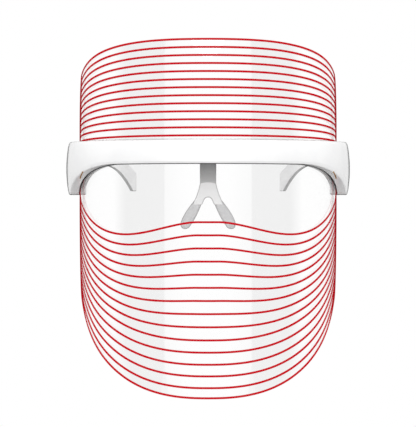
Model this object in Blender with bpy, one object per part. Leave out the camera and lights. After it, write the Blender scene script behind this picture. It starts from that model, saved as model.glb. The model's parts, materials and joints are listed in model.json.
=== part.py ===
"""LED face mask: a clear curved light shield hung from a white brow band, with folding arms.

Frame: +X to the right of someone looking at the front of the mask, +Y from the front
towards the wearer, +Z up. The origin is the nose rest, on the centre plane between the
two nose pads. Units are metres. The shield and the band follow one plan curve, so most
places are given as run (signed length along that curve), out (distance from the shield's
outer surface, positive away from the wearer) and height.
"""

import math

import bmesh
import bpy
from mathutils import Matrix, Vector

MM = 0.001
UP = (0, 0, 1)

# Plan curve of the shield's outer surface, from the centre to each side.
NOSE_DEPTH = 32 * MM  # nose rest behind the shield's front
FRONT_RADIUS = 100 * MM
FRONT_TURN = math.radians(40)
SIDE_RADIUS = 65.3 * MM
SIDE_TURN = math.radians(46.7)  # the last stretch is straight and flares out a little

# Shield.
SHIELD_THICK = 1.8 * MM
SHIELD_END = 146 * MM  # run of its side edges, inside the end blocks
SHIELD_TOP = 113.7 * MM
SHIELD_BOTTOM = -119.6 * MM
TOP_MEETS = 45 * MM  # height that the top edge closes in on at the sides
TOP_SHAPE = (3.14, 0.62)  # powers of the shoulder's curve
BOTTOM_MEETS = 30 * MM
BOTTOM_SHAPE = (2.5, 0.815)  # powers of the chin's curve
OUTLINE_REACH = 146.4 * MM
TURN_DOWN = (110 * MM, 130 * MM)  # runs between which both edges close in on the block
SHIELD_STEPS = 56  # along each half

# Brow band and its end blocks.
BAND_LOW = 32.7 * MM
BAND_HIGH = 47.75 * MM
END_RISE = 1.9 * MM
BLOCK_LOW = 13.3 * MM
BLOCK_END = 155 * MM
ARCH_START = 60 * MM
ARCH_END = 122 * MM
PROUD_FRONT = 6.8 * MM
PROUD_END = 9.9 * MM
CROWN_FRONT = 1.0 * MM
CROWN_END = 1.8 * MM
EDGE_ROUND = 1.2 * MM
END_ROUND = 3 * MM  # rounding of the block's rear end, seen from above
WALL = 1.5 * MM
FRONT_SHELL_IN = 0.7 * MM  # gap from the shield, which the seal takes up
REAR_SHELL_OUT = -2.1 * MM
REAR_SHELL_IN = -4.0 * MM
REAR_EDGE = 0.7 * MM  # bevel of the rear casing
REAR_PEEK = 1.2 * MM  # how far it stands above the front casing at the centre
END_PAD_RUN = 149.2 * MM  # past this the rear casing is thick, to take the end screw
END_PAD_OVERLAP = 0.4 * MM
BAND_STEPS = 30

# Light flex: an upright strip in the block, seen in a slit of the arch.
FLEX_RUN = (91 * MM, 102.5 * MM)
FLEX_OUT = (6.0 * MM, 3.0 * MM)
FLEX_LENGTH = 14 * MM
FLEX_THICK = 0.4 * MM
FLEX_TOP = 43 * MM
FLEX_PEEK = 0.05 * MM  # how far its lower edge stands out of the arch
FLEX_GAP = 0.3 * MM
SLIT_BELOW = 1 * MM

# Screws of the casing, and what they turn in.
SCREW_RUNS = (-84 * MM, -28 * MM, 28 * MM, 84 * MM)
END_SCREW_RUN = 151.4 * MM
END_SCREW_HEIGHT = 21 * MM
END_BOSS_START = 0.3 * MM
BOSS_RADIUS = 2.3 * MM
BOSS_BORE = 1.05 * MM
BOSS_SKIN = 0.6 * MM  # left between the bore's end and the casing's wall
SHANK_RADIUS = 0.75 * MM
SHANK_TO = 4 * MM
SHANK_HOLE = 1.25 * MM
SHIELD_HOLE = 1.3 * MM
HEAD_RADIUS = 1.85 * MM
HEAD_SEAT = (0.05 * MM, 1.1 * MM)  # from the rear casing's inner face
HEAD_BORE = (2.2 * MM, 1.2 * MM)  # radius and depth of its counterbore
CROSS = (2.2 * MM, 1.2 * MM, 0.5 * MM)

# Seal under the band.
SEAL_OUT = (0.1 * MM, 0.6 * MM)
SEAL_BELOW = 0.35 * MM
SEAL_ABOVE = 0.9 * MM

# Arms and their hinges.
HINGE_X = 87.2 * MM
HINGE_Y = 105.9 * MM - NOSE_DEPTH
LUG_RADIUS = 3.4 * MM
PIN_RADIUS = 1.1 * MM
PIN_CLEARANCE = 0.1 * MM
LUG_LOW = (34.0 * MM, 37.4 * MM)
LUG_HIGH = (45.0 * MM, 48.4 * MM)
TONGUE = (37.7 * MM, 44.7 * MM)
ARM_LOW = 35.4 * MM
ARM_HIGH = 48.2 * MM
ARM_END_Y = 168 * MM - NOSE_DEPTH
ARM_TIP_X = 53.8 * MM
ARM_THICK_ROOT = 3.4 * MM
ARM_THICK_TIP = 3.2 * MM
ARM_NECK = 1 * MM  # from the knuckle's rim to the arm's first section
ARM_STEPS = 30
ARM_BOW = 0.35  # share of the bow that is even slope; the rest grows
ARM_EDGE = 0.8 * MM
HOOK_LOW = 16.8 * MM
HOOK_FALL = (0.40, 23.5 * MM, 3.0)  # where it starts, how far it would fall, and its power
HOOK_SHOULDER = (0.35, 18.2 * MM, 2.2)
KNUCKLE_LESS = 0.2 * MM  # the tongue is this much smaller than the lugs round it
LUG_ROOT = (-2.6 * MM, 1.4 * MM)  # inner and outer side of a lug's root, from the hinge
LUG_ROOT_Y = 97.5 * MM - NOSE_DEPTH
TONGUE_ROOT = (-1.7 * MM, 1.3 * MM)
TONGUE_OVERLAP = 1.5 * MM
FLUSH = 0.01 * MM  # keeps joined faces from lying in one plane

# Nose piece.
SOCKET_HALF = 7.2 * MM
SOCKET_Y = (3.7 * MM - NOSE_DEPTH, 9.2 * MM - NOSE_DEPTH)
SOCKET_Z = (34.4 * MM, 46.2 * MM)
STEM_HALF = 5.35 * MM
STEM_THICK = 2.4 * MM
STEM_Y = 6.4 * MM - NOSE_DEPTH
STEM_PATH = ((0, 45.4), (0, 34.0), (0.6, 32.0), (4.4, 27.6), (10.8, 21.6), (14.2, 16.6), (15.9, 12.6))
STEM_FLARE = (20 * MM, 0.25)  # below this height it widens, by this share of the way down
SLOT_GAP = 0.3 * MM
LEG = ((2.4, 21.5, 17.0), (4.6, 25.0, 9.5), (13.2, 28.0, -2.0), (15.7, 29.0, -8.4))
LEG_SPAN = (0.02, 0.985)
LEG_HALF = (2.75 * MM, 1.85 * MM)
PAD_SPAN = (0.38, 1.08)
PAD_SOCKET_SPAN = (0.32, 1.02)
PAD_HALF = (2.8 * MM, 0.95 * MM)  # at its ends, and what its belly adds
PAD_DEEP = (1.9 * MM, 0.6 * MM)
PAD_TIP = 0.78  # past this it closes as a half oval
PAD_GAP = 0.3 * MM

# Electronics: boxes are along the run, through, and up.
LED_COUNT = 7
LED_LOWEST = 29.2 * MM
LED_PITCH = 2.7 * MM
LED_RUN = 147.1 * MM
LED_OUT = -0.9 * MM
LED_SIZE = (1.2 * MM, 1.6 * MM, 1.6 * MM)
LED_BOARD_PLACE = (148.3 * MM, 0.9 * MM, 34.6 * MM)
LED_BOARD_SIZE = (0.8 * MM, 5.0 * MM, 25.0 * MM)
MAIN_BOARD_PLACE = (133.5 * MM, 1.3 * MM, 30.7 * MM)
MAIN_BOARD_SIZE = (24 * MM, 0.8 * MM, 29.4 * MM)
BATTERY_PLACE = (-132.5 * MM, 3.2 * MM, 30.7 * MM)
BATTERY_SIZE = (24 * MM, 3.8 * MM, 29 * MM)
CABLE_END = 118 * MM
CABLE_OUT = (1.2 * MM, 1.5 * MM)
CABLE_HEIGHT = (43.0 * MM, 45.2 * MM)
CABLE_STEPS = 48

# Power button and its switch.
BUTTON_RUN = 129 * MM
BUTTON_OUT = 4.1 * MM
BUTTON_SIZE = (10 * MM, 4.2 * MM)
BUTTON_GAP = 0.3 * MM
BUTTON_FOOT = 46.4 * MM
BUTTON_PROUD = 0.25 * MM
FLANGE_SIZE = (11.6 * MM, 3.4 * MM)
FLANGE_HEIGHT = (46.1 * MM, 46.8 * MM)
BUTTON_HOLE_HEIGHT = (45 * MM, 52 * MM)
SWITCH_HEIGHT = 43.7 * MM
SWITCH_SIZE = (4.6 * MM, 3.4 * MM, 2.2 * MM)
PLUNGER_RADIUS = 0.9 * MM
PLUNGER_HEIGHT = (44 * MM, 45.4 * MM)

# Charging receptacle, mouth down.
PORT_RUN = 137 * MM
PORT_OUT = 3.9 * MM
PORT_HOLE_SIZE = (9.7 * MM, 4.0 * MM)
PORT_HOLE_HEIGHT = (11 * MM, 16 * MM)
PORT_SIZE = (8.9 * MM, 3.2 * MM)
PORT_HEIGHT = (13.9 * MM, 21.2 * MM)
MOUTH_SIZE = (8.3 * MM, 2.6 * MM)
MOUTH_HEIGHT = (12 * MM, 20 * MM)
PORT_TONGUE_HEIGHT = 17.6 * MM
PORT_TONGUE_SIZE = (6.6 * MM, 0.7 * MM, 5.4 * MM)


# The plan curve

def plan_frame(run, out=0.0):
    """Point of the plan curve at this run, and the turn of its outward normal from -Y."""
    side = -1 if run < 0 else 1
    run = abs(run)
    front_run = FRONT_RADIUS * FRONT_TURN
    side_run = SIDE_RADIUS * SIDE_TURN
    full_turn = FRONT_TURN + SIDE_TURN
    turn = min(run / FRONT_RADIUS, FRONT_TURN)
    x = FRONT_RADIUS * math.sin(turn)
    y = FRONT_RADIUS * (1 - math.cos(turn))
    if run > front_run:
        turn = min(FRONT_TURN + (run - front_run) / SIDE_RADIUS, full_turn)
        x += SIDE_RADIUS * (math.sin(turn) - math.sin(FRONT_TURN))
        y += SIDE_RADIUS * (math.cos(FRONT_TURN) - math.cos(turn))
    straight = run - front_run - side_run
    if straight > 0:
        x += straight * math.cos(turn)
        y += straight * math.sin(turn)
    x += out * math.sin(turn)
    y -= out * math.cos(turn)
    return side * x, y - NOSE_DEPTH, side * turn


def on_plan(run, out, height):
    x, y, _ = plan_frame(run, out)
    return Vector((x, y, height))


def spread(first, last, steps):
    return [first + (last - first) * i / steps for i in range(steps + 1)]


# Band and shield outlines

def band_bottom(run):
    """Level across the front, then a parabola down to the underside of the end block."""
    reach = (abs(run) - ARCH_START) / (ARCH_END - ARCH_START)
    return BAND_LOW - (BAND_LOW - BLOCK_LOW) * min(max(reach, 0), 1) ** 2


def band_top(run):
    return BAND_HIGH + END_RISE * (run / BLOCK_END) ** 2


def band_proud(run):
    """How far the band stands in front of the shield, less the round at the very end."""
    past = max(0.0, abs(run) - (BLOCK_END - END_ROUND)) / END_ROUND
    tuck = END_ROUND * (1 - math.sqrt(max(0.0, 1 - past**2)))
    return PROUD_FRONT + (PROUD_END - PROUD_FRONT) * (run / BLOCK_END) ** 2 - tuck


def band_crown(run):
    return CROWN_FRONT + (CROWN_END - CROWN_FRONT) * (run / BLOCK_END) ** 2


def falling(run, shape):
    """One at the centre, nothing past the turn-down at the side."""
    past = min(max(abs(run) - TURN_DOWN[0], 0) / (TURN_DOWN[1] - TURN_DOWN[0]), 1)
    side = (1 + math.cos(math.pi * past)) / 2
    return side * (1 - (abs(run) / OUTLINE_REACH) ** shape[0]) ** shape[1]


def shield_top(run):
    """Highest at the centre, closing in on the end block with a round shoulder."""
    return TOP_MEETS + (SHIELD_TOP - TOP_MEETS) * falling(run, TOP_SHAPE)


def shield_bottom(run):
    """Round chin, from the centre up to the end block."""
    return BOTTOM_MEETS + (SHIELD_BOTTOM - BOTTOM_MEETS) * falling(run, BOTTOM_SHAPE)


# Materials and mesh helpers

def make_material(name, colour, roughness, metallic=0.0, alpha=1.0):
    material = bpy.data.materials.new(name)
    material.use_nodes = True
    shader = material.node_tree.nodes["Principled BSDF"]
    shader.inputs["Base Color"].default_value = (*colour, 1)
    shader.inputs["Roughness"].default_value = roughness
    shader.inputs["Metallic"].default_value = metallic
    shader.inputs["Alpha"].default_value = alpha
    return material


def object_from(bm, name, material):
    """Closes off a bmesh as an object with outward faces, all of them flat."""
    bmesh.ops.triangulate(bm, faces=bm.faces)
    bmesh.ops.recalc_face_normals(bm, faces=bm.faces)
    mesh = bpy.data.meshes.new(name)
    bm.to_mesh(mesh)
    bm.free()
    obj = bpy.data.objects.new(name, mesh)
    if material:
        mesh.materials.append(material)
    bpy.context.scene.collection.objects.link(obj)
    return obj


def loft(name, rings, material=None):
    """Skin over closed rings of equal length, capped at both ends."""
    bm = bmesh.new()
    loops = [[bm.verts.new(point) for point in ring] for ring in rings]
    count = len(loops[0])
    for near, far in zip(loops, loops[1:]):
        for i in range(count):
            j = (i + 1) % count
            bm.faces.new((near[i], near[j], far[j], far[i]))
    bm.faces.new(loops[0][::-1])
    bm.faces.new(loops[-1])
    return object_from(bm, name, material)


def box(name, low, high, material=None):
    bm = bmesh.new()
    size = Vector(high) - Vector(low)
    middle = (Vector(high) + Vector(low)) / 2
    bmesh.ops.create_cube(bm, size=1, matrix=Matrix.Translation(middle) @ Matrix.Diagonal((*size, 1)))
    return object_from(bm, name, material)


def rod(name, base, axis, radius, length, sides=20, material=None):
    """Cylinder from base along axis."""
    axis = Vector(axis).normalized()
    turn = axis.to_track_quat("Z", "Y").to_matrix().to_4x4()
    place = Matrix.Translation(Vector(base) + axis * length / 2) @ turn
    bm = bmesh.new()
    bmesh.ops.create_cone(bm, cap_ends=True, segments=sides, radius1=radius, radius2=radius,
                          depth=length, matrix=place)
    return object_from(bm, name, material)


def plan_box(name, run, out, height, size, material=None):
    """Box centred at a place on the plan curve: size is along the run, through, and up."""
    x, y, turn = plan_frame(run, out)
    half = Vector(size) / 2
    obj = box(name, -half, half, material)
    obj.location = (x, y, height)
    obj.rotation_euler.z = turn
    return obj


def stadium_ring(length, width, sides=8):
    """Points round a slot shape in its own plane: two half circles joined by straights."""
    radius = width / 2
    reach = length / 2 - radius
    ring = []
    for end, start in ((1, -90), (-1, 90)):
        for i in range(sides + 1):
            angle = math.radians(start + 180 * i / sides)
            ring.append((end * reach + radius * math.cos(angle), radius * math.sin(angle)))
    return ring


def plan_stadium(name, run, out, heights, size, material=None):
    """Upright slot-shaped prism standing on the plan curve. size is its length and width."""
    x, y, turn = plan_frame(run, out)
    rings = [[(u, v, z) for u, v in stadium_ring(*size)] for z in heights]
    obj = loft(name, rings, material)
    obj.location = (x, y, 0)
    obj.rotation_euler.z = turn
    return obj


def combine(target, tools, operation, solver="EXACT"):
    """Boolean of each tool with the target. A tool stays in the file as a wire-drawn helper.

    The two long shells use the MANIFOLD solver, because EXACT leaves open edges in them.
    """
    for tool in tools:
        modifier = target.modifiers.new(tool.name, "BOOLEAN")
        modifier.operation = operation
        modifier.solver = solver
        modifier.object = tool
        tool.hide_render = True
        tool.display_type = "WIRE"


def smooth(obj, angle=35):
    obj.data.shade_smooth()
    obj.data.set_sharp_from_angle(angle=math.radians(angle))


# Shells

def front_section(run):
    """Ring of (out, height): flat back, crowned front and rounded edges."""
    low, high = band_bottom(run), band_top(run)
    proud, crown = band_proud(run), band_crown(run)
    middle, half = (low + high) / 2, (high - low) / 2
    ring = [(FRONT_SHELL_IN, high), (FRONT_SHELL_IN, low)]
    shoulder = proud - crown
    for angle in (-90, -50, -10):
        bend = math.radians(angle)
        ring.append((shoulder - EDGE_ROUND + EDGE_ROUND * math.cos(bend),
                     low + EDGE_ROUND + EDGE_ROUND * math.sin(bend)))
    for part in (-0.6, -0.2, 0.2, 0.6):
        ring.append((proud - crown * part**2, middle + half * part))
    for angle in (10, 50, 90):
        bend = math.radians(angle)
        ring.append((shoulder - EDGE_ROUND + EDGE_ROUND * math.cos(bend),
                     high - EDGE_ROUND + EDGE_ROUND * math.sin(bend)))
    return ring


def band_runs(end):
    """Runs where the band's sections stand, from one end to the other, closer over the end rounds."""
    round_start = BLOCK_END - END_ROUND
    outer = spread(ARCH_END, round_start, 2)
    outer += [round_start + (end - round_start) * math.sin(math.pi / 2 * i / 4) for i in range(1, 5)]
    return [-run for run in outer[:0:-1]] + spread(-ARCH_END, ARCH_END, 2 * BAND_STEPS) + outer[1:]


def screw_places():
    """(run, height) of each shell screw."""
    places = [(run, (BAND_LOW + BAND_HIGH) / 2) for run in SCREW_RUNS]
    return places + [(side * END_SCREW_RUN, END_SCREW_HEIGHT) for side in (-1, 1)]


def plan_rod(name, run, height, outs, radius, material=None, sides=16):
    """Cylinder square to the plan curve, between two distances out."""
    base = on_plan(run, outs[0], height)
    return rod(name, base, on_plan(run, outs[1], height) - base, radius, outs[1] - outs[0], sides,
               material)


def light_flex_rings(side, grow, below):
    """Flat upright strip inside the end block, from its front corner part of the way back.

    Its lower edge stands this far below the arch. grow widens it for cutting its slit.
    """
    rings = []
    for step in spread(-grow / FLEX_LENGTH, 1 + grow / FLEX_LENGTH, 6):
        run = side * (FLEX_RUN[0] + (FLEX_RUN[1] - FLEX_RUN[0]) * step)
        x, y, _ = plan_frame(run, FLEX_OUT[0] + (FLEX_OUT[1] - FLEX_OUT[0]) * step)
        half = FLEX_THICK / 2 + grow
        low = band_bottom(run) - below
        high = FLEX_TOP + grow
        rings.append([(x - side * half, y, low), (x + side * half, y, low),
                      (x + side * half, y, high), (x - side * half, y, high)])
    return rings


def front_hollow():
    """What the front casing is emptied by: the band's own section, a wall smaller all round."""
    rings = []
    for run in band_runs(BLOCK_END - WALL):
        depth = band_proud(run) - band_crown(run) - WALL
        low, high = band_bottom(run) + WALL, band_top(run) - WALL
        section = ((-FRONT_SHELL_IN, high), (-FRONT_SHELL_IN, low), (depth, low), (depth, high))
        rings.append([on_plan(run, *point) for point in section])
    return loft("front_shell_hollow", rings)


def front_shell(material):
    rings = [[on_plan(run, *point) for point in front_section(run)] for run in band_runs(BLOCK_END)]
    shell = loft("front_shell", rings, material)
    combine(shell, [front_hollow()], "DIFFERENCE", "MANIFOLD")
    bosses = []
    holes = []
    for i, (run, height) in enumerate(screw_places()):
        wall_at = band_proud(run) - band_crown(run) - WALL / 2
        start = FRONT_SHELL_IN if abs(run) < SHIELD_END else END_BOSS_START
        bosses.append(plan_rod(f"boss_{i}", run, height, (start, wall_at), BOSS_RADIUS))
        bore = (REAR_SHELL_OUT, wall_at - BOSS_SKIN)
        holes.append(plan_rod(f"boss_hole_{i}", run, height, bore, BOSS_BORE, sides=12))
    combine(shell, bosses, "UNION", "MANIFOLD")
    button_hole = [side + 2 * BUTTON_GAP for side in BUTTON_SIZE]
    holes.append(plan_stadium("button_hole", BUTTON_RUN, BUTTON_OUT, BUTTON_HOLE_HEIGHT, button_hole))
    holes.append(plan_stadium("port_hole", PORT_RUN, PORT_OUT, PORT_HOLE_HEIGHT, PORT_HOLE_SIZE))
    for side in (-1, 1):
        holes.append(loft(f"flex_slit_{side}", light_flex_rings(side, FLEX_GAP, SLIT_BELOW)))
    combine(shell, holes, "DIFFERENCE", "MANIFOLD")
    smooth(shell)
    return shell


def rear_section(run):
    """Ring of (out, height): a thin strip with its two inner edges bevelled."""
    low = band_bottom(run)
    high = band_top(run) + REAR_PEEK * (1 - (run / BLOCK_END) ** 2)
    return ((REAR_SHELL_OUT, high), (REAR_SHELL_OUT, low), (REAR_SHELL_IN + REAR_EDGE, low),
            (REAR_SHELL_IN, low + REAR_EDGE), (REAR_SHELL_IN, high - REAR_EDGE),
            (REAR_SHELL_IN + REAR_EDGE, high))


def end_pad(side):
    """Closes the rear casing on the front one past the shield's side edge."""
    rings = []
    inside = REAR_SHELL_OUT - END_PAD_OVERLAP
    for run in spread(END_PAD_RUN, BLOCK_END, 2):
        section = ((inside, band_top(run)), (inside, BLOCK_LOW), (0, BLOCK_LOW), (0, band_top(run)))
        rings.append([on_plan(side * run, *point) for point in section])
    return loft(f"end_pad_{side}", rings)


def sided(side, span):
    """The hinge's X with each of these two offsets, on one side, smallest first."""
    return sorted(side * (HINGE_X + offset) for offset in span)


def hinge_lugs(side):
    """The two lugs that hold the pin, each with a root that reaches the casing."""
    solids = []
    for part, (low, high) in (("low", LUG_LOW), ("high", LUG_HIGH)):
        ends = sided(side, LUG_ROOT)
        solids.append(box(f"lug_root_{part}_{side}", (ends[0], LUG_ROOT_Y, low + FLUSH),
                          (ends[1], HINGE_Y, high - FLUSH)))
        solids.append(rod(f"lug_{part}_{side}", (side * HINGE_X, HINGE_Y, low), UP, LUG_RADIUS,
                          high - low, 24))
    return solids


def rear_shell(material):
    rings = [[on_plan(run, *point) for point in rear_section(run)] for run in band_runs(BLOCK_END)]
    shell = loft("rear_shell", rings, material)
    solids = [box("nose_socket", (-SOCKET_HALF, SOCKET_Y[0], SOCKET_Z[0]),
                  (SOCKET_HALF, SOCKET_Y[1], SOCKET_Z[1]))]
    slot_x = STEM_HALF + SLOT_GAP
    slot_y = STEM_THICK / 2 + SLOT_GAP
    holes = [box("nose_slot", (-slot_x, STEM_Y - slot_y, SOCKET_Z[0] - 1 * MM),
                 (slot_x, STEM_Y + slot_y, SOCKET_Z[1] + 1 * MM))]
    for side in (-1, 1):
        solids.append(end_pad(side))
        solids += hinge_lugs(side)
        holes.append(rod(f"pin_hole_{side}", (side * HINGE_X, HINGE_Y, LUG_LOW[0] - 1 * MM), UP,
                         PIN_RADIUS + PIN_CLEARANCE, LUG_HIGH[1] - LUG_LOW[0] + 2 * MM, 20))
    beyond = REAR_SHELL_IN - 2 * MM
    for i, (run, height) in enumerate(screw_places()):
        holes.append(plan_rod(f"rear_hole_{i}", run, height, (beyond, 1 * MM), SHANK_HOLE))
        counterbore = (beyond, REAR_SHELL_IN + HEAD_BORE[1])
        holes.append(plan_rod(f"rear_counterbore_{i}", run, height, counterbore, HEAD_BORE[0]))
    combine(shell, solids, "UNION", "MANIFOLD")
    combine(shell, holes, "DIFFERENCE", "MANIFOLD")
    smooth(shell)
    return shell


def shell_screws(material):
    for i, (run, height) in enumerate(screw_places()):
        seat = [REAR_SHELL_IN + depth for depth in HEAD_SEAT]
        head = plan_rod(f"shell_screw_{i + 1}", run, height, seat, HEAD_RADIUS, material)
        shank_from = sum(seat) / 2
        shank = plan_rod(f"screw_shank_{i}", run, height, (shank_from, SHANK_TO), SHANK_RADIUS)
        cross = [plan_box(f"screw_cross_{i}_{turn}", run, REAR_SHELL_IN, height, size)
                 for turn, size in enumerate((CROSS, CROSS[::-1]))]
        combine(head, [shank], "UNION")
        combine(head, cross, "DIFFERENCE")
        smooth(head)


def lower_seal(material):
    """Thin strip between the front casing and the shield, along the arch."""
    rings = []
    for run in spread(-ARCH_END, ARCH_END, 2 * BAND_STEPS):
        low, high = band_bottom(run) - SEAL_BELOW, band_bottom(run) + SEAL_ABOVE
        section = ((SEAL_OUT[0], low), (SEAL_OUT[1], low), (SEAL_OUT[1], high), (SEAL_OUT[0], high))
        rings.append([on_plan(run, *point) for point in section])
    return loft("lower_seal", rings, material)


def face_shield(material):
    """Bent sheet with upright rulings. Its runs crowd towards the side edges, where it is cut steeply."""
    rings = []
    for angle in spread(-math.pi / 2, math.pi / 2, 2 * SHIELD_STEPS):
        run = SHIELD_END * math.sin(angle)
        low, high = shield_bottom(run), shield_top(run)
        section = ((0, low), (0, high), (-SHIELD_THICK, high), (-SHIELD_THICK, low))
        rings.append([on_plan(run, *point) for point in section])
    shield = loft("face_shield", rings, material)
    through = (-SHIELD_THICK - 2 * MM, 2 * MM)
    holes = [plan_rod(f"shield_hole_{i}", run, height, through, SHIELD_HOLE)
             for i, (run, height) in enumerate(screw_places()[:len(SCREW_RUNS)])]
    combine(shield, holes, "DIFFERENCE")
    smooth(shield)
    return shield


# Arms

def arm_start():
    return HINGE_Y + LUG_RADIUS + ARM_NECK


def curving(part, curve):
    """How far a curve of this (start, full fall, power) has fallen at this part of the arm."""
    start, fall, power = curve
    return fall * (max(0.0, part - start) / (1 - start)) ** power


def arm_outline(part):
    """(y, lower edge, upper edge, thickness) at this part of the way from root to hook end."""
    y = arm_start() + (ARM_END_Y - arm_start()) * part
    low = max(ARM_LOW - curving(part, HOOK_FALL), HOOK_LOW)
    high = ARM_HIGH - curving(part, HOOK_SHOULDER)
    return y, low, high, ARM_THICK_ROOT + (ARM_THICK_TIP - ARM_THICK_ROOT) * part


def arm_x(y):
    """The arm bows inwards: its slope grows evenly from the hinge to the tip."""
    part = (y - HINGE_Y) / (ARM_END_Y - HINGE_Y)
    return HINGE_X - (HINGE_X - ARM_TIP_X) * (ARM_BOW * part + (1 - ARM_BOW) * part**2)


def arm_ring(side, part):
    """Bevelled upright section, square to the bowed centre line."""
    y, low, high, thick = arm_outline(part)
    x = arm_x(y)
    slope = (arm_x(y + 1 * MM) - arm_x(y - 1 * MM)) / (2 * MM)
    across = Vector((1, -slope)).normalized() * thick / 2
    edge = 0.55
    section = ((-edge, low), (edge, low), (1, low + ARM_EDGE), (1, high - ARM_EDGE),
               (edge, high), (-edge, high), (-1, high - ARM_EDGE), (-1, low + ARM_EDGE))
    return [(side * (x + u * across.x), y + u * across.y, z) for u, z in section]


def arm(side, material):
    name = "arm_left" if side < 0 else "arm_right"
    obj = loft(name, [arm_ring(side, part) for part in spread(0, 1, ARM_STEPS)], material)
    hinge = Vector((side * HINGE_X, HINGE_Y, 0))
    low, high = TONGUE
    ends = sided(side, TONGUE_ROOT)
    root = box(f"tongue_root_{side}", (ends[0], HINGE_Y, low + FLUSH),
               (ends[1], arm_start() + TONGUE_OVERLAP, high - FLUSH))
    knuckle = rod(f"tongue_{side}", hinge + Vector((0, 0, low)), UP, LUG_RADIUS - KNUCKLE_LESS,
                  high - low, 24)
    hole = rod(f"tongue_hole_{side}", hinge + Vector((0, 0, low - 1 * MM)), UP,
               PIN_RADIUS + PIN_CLEARANCE, high - low + 2 * MM, 20)
    combine(obj, [root, knuckle], "UNION")
    combine(obj, [hole], "DIFFERENCE")
    smooth(obj)
    set_origin(obj, hinge)
    return obj


def set_origin(obj, point):
    """Moves an object's origin to a point of the world without moving its mesh."""
    obj.data.transform(Matrix.Translation(-point))
    obj.location = point


def hinge_pins(material):
    for side, name in ((-1, "hinge_pin_left"), (1, "hinge_pin_right")):
        pin = rod(name, (side * HINGE_X, HINGE_Y, LUG_LOW[0]), UP, PIN_RADIUS,
                  LUG_HIGH[1] - LUG_LOW[0], 20, material)
        smooth(pin)


# Nose piece

def bezier(points, part):
    """Point of the cubic curve with these four control points."""
    a, b, c, d = (Vector(point) for point in points)
    rest = 1 - part
    return a * rest**3 + b * 3 * rest**2 * part + c * 3 * rest * part**2 + d * part**3


def oval_ring(centre, across, through, half_width, half_thick, sides=12):
    """Rounded-rectangle ring about a centre, in the plane of two directions."""
    ring = []
    for i in range(sides):
        angle = 2 * math.pi * (i + 0.5) / sides
        u = math.copysign(abs(math.cos(angle)) ** 0.6, math.cos(angle))
        v = math.copysign(abs(math.sin(angle)) ** 0.6, math.sin(angle))
        ring.append(centre + across * (half_width * u) + through * (half_thick * v))
    return ring


def leg_curve(side):
    """Centre line of one leg of the fork, down and back to its pad."""
    return [(side * x * MM, y * MM - NOSE_DEPTH, z * MM) for x, y, z in LEG]


def leg_half(part):
    return LEG_HALF[0] + (LEG_HALF[1] - LEG_HALF[0]) * part


def leg_rings(side, span, steps, half_width, half_thick):
    """Rings along a stretch of a leg. The two halves are functions of the part along the leg."""
    rings = []
    for part in spread(*span, steps):
        centre = bezier(leg_curve(side), part)
        ahead = bezier(leg_curve(side), part + 0.01) - bezier(leg_curve(side), part - 0.01)
        ahead.normalize()
        across = Vector((0, 1, 0)).cross(ahead).normalized()
        through = ahead.cross(across).normalized()
        rings.append(oval_ring(centre, across, through, half_width(part), half_thick(part)))
    return rings


def stem_rings():
    """Rings down the stem, each square to its path."""
    path = [Vector((0, STEM_Y + y * MM, z * MM)) for y, z in STEM_PATH]
    rings = []
    for i, centre in enumerate(path):
        ahead = path[min(i + 1, len(path) - 1)] - path[max(i - 1, 0)]
        through = Vector((1, 0, 0)).cross(ahead).normalized()
        half = STEM_HALF + max(0.0, STEM_FLARE[0] - centre.z) * STEM_FLARE[1]
        rings.append(oval_ring(centre, Vector((1, 0, 0)), through, half, STEM_THICK / 2))
    return rings


def nose_bridge(material):
    """Flat stem that slides in the socket, bends back under the band and splits in two legs."""
    bridge = loft("nose_bridge", stem_rings(), material)
    legs = [loft(f"nose_leg_{side}", leg_rings(side, LEG_SPAN, 10, leg_half, lambda part: STEM_THICK / 2))
            for side in (-1, 1)]
    combine(bridge, legs, "UNION")
    smooth(bridge)
    return bridge


def pad_swell(part, sizes):
    """Half size of a pad at a part of the leg: a belly between its top and a half-oval tip."""
    along = (part - PAD_SPAN[0]) / (PAD_SPAN[1] - PAD_SPAN[0])
    belly = math.sin(math.pi * min(max(along, 0) / 0.95, 1))
    tip = max(0.0, along - PAD_TIP) / (1 - PAD_TIP)
    return (sizes[0] + sizes[1] * belly) * math.sqrt(max(0.03, 1 - tip**2))


def nose_pads(material):
    """Soft sleeves, each closed at its tip and hollow for its leg."""
    for side, name in ((-1, "nose_pad_left"), (1, "nose_pad_right")):
        pad = loft(name, leg_rings(side, PAD_SPAN, 16, lambda part: pad_swell(part, PAD_HALF),
                                   lambda part: pad_swell(part, PAD_DEEP)), material)
        socket = loft(f"pad_socket_{side}",
                      leg_rings(side, PAD_SOCKET_SPAN, 10, lambda part: leg_half(part) + PAD_GAP,
                                lambda part: STEM_THICK / 2 + PAD_GAP))
        combine(pad, [socket], "DIFFERENCE")
        smooth(pad)


# Electronics

def placed_box(name, side, place, size, material):
    run, out, height = place
    return plan_box(name, side * run, out, height, size, material)


def light_sources(materials):
    """On each side: a strip of LEDs that faces the shield's side edge, and the flex that feeds it."""
    for side, word in ((-1, "left"), (1, "right")):
        placed_box(f"led_board_{word}", side, LED_BOARD_PLACE, LED_BOARD_SIZE, materials["board"])
        for i in range(LED_COUNT):
            place = (LED_RUN, LED_OUT, LED_LOWEST + i * LED_PITCH)
            placed_box(f"led_{word}_{i + 1}", side, place, LED_SIZE, materials["led"])
        loft(f"light_flex_{word}", light_flex_rings(side, 0, FLEX_PEEK), materials["flex"])


def tact_switch(material):
    switch = plan_box("tact_switch", BUTTON_RUN, BUTTON_OUT, SWITCH_HEIGHT, SWITCH_SIZE, material)
    low, high = PLUNGER_HEIGHT
    foot = on_plan(BUTTON_RUN, BUTTON_OUT, low)
    plunger = rod("switch_plunger", foot, UP, PLUNGER_RADIUS, high - low, 12)
    combine(switch, [plunger], "UNION")


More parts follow.
